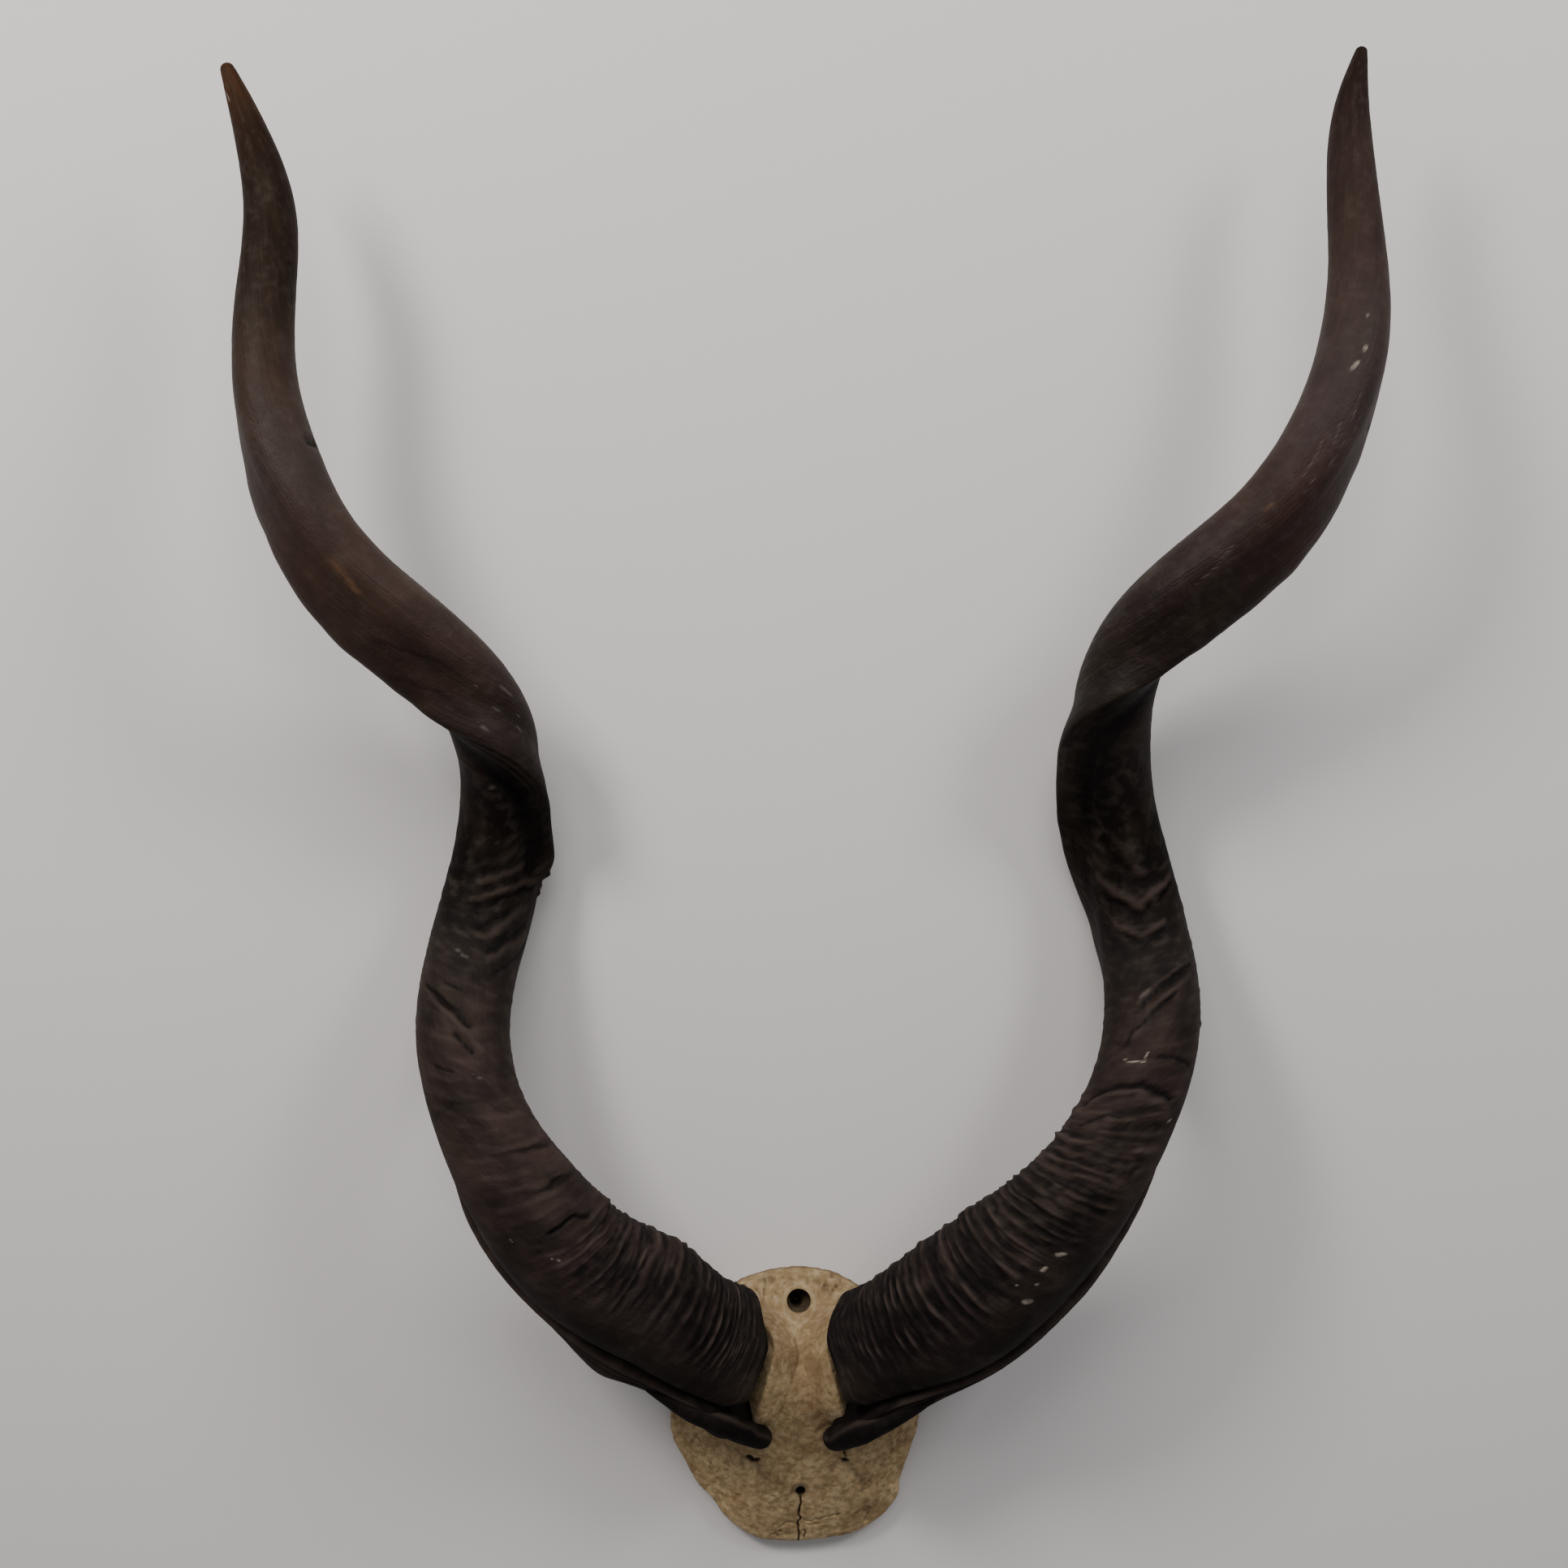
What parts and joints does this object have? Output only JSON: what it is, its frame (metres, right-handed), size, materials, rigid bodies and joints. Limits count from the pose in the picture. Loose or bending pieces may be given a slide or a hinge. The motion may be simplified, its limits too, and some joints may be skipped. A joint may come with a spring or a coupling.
{
  "type": "pair of kudu horns on a skull plate",
  "caption": "Pair of long corkscrew antelope horns with ringed bases, joined by a sawn piece of skull with screw holes, lying on its flat back.",
  "frame": {"origin": "on the flat sawn back of the skull plate, on the middle line, about halfway between the two screw holes", "axes": "+Z out of the forehead, away from the flat back; +Y from the brow up to the horn tips; +X towards the horn on the right as seen from the front"},
  "size_m": [0.7022, 0.946, 0.1359],
  "materials": {
    "bone": "dry, porous, chalky bone",
    "horn": "dark keratin, ringed and dull at the base, smoother and satin towards the tips"
  },
  "bodies": {
    "root": {"skull_plate": "bone", "horn_right": "horn", "horn_left": "horn"}
  },
  "joints": []
}
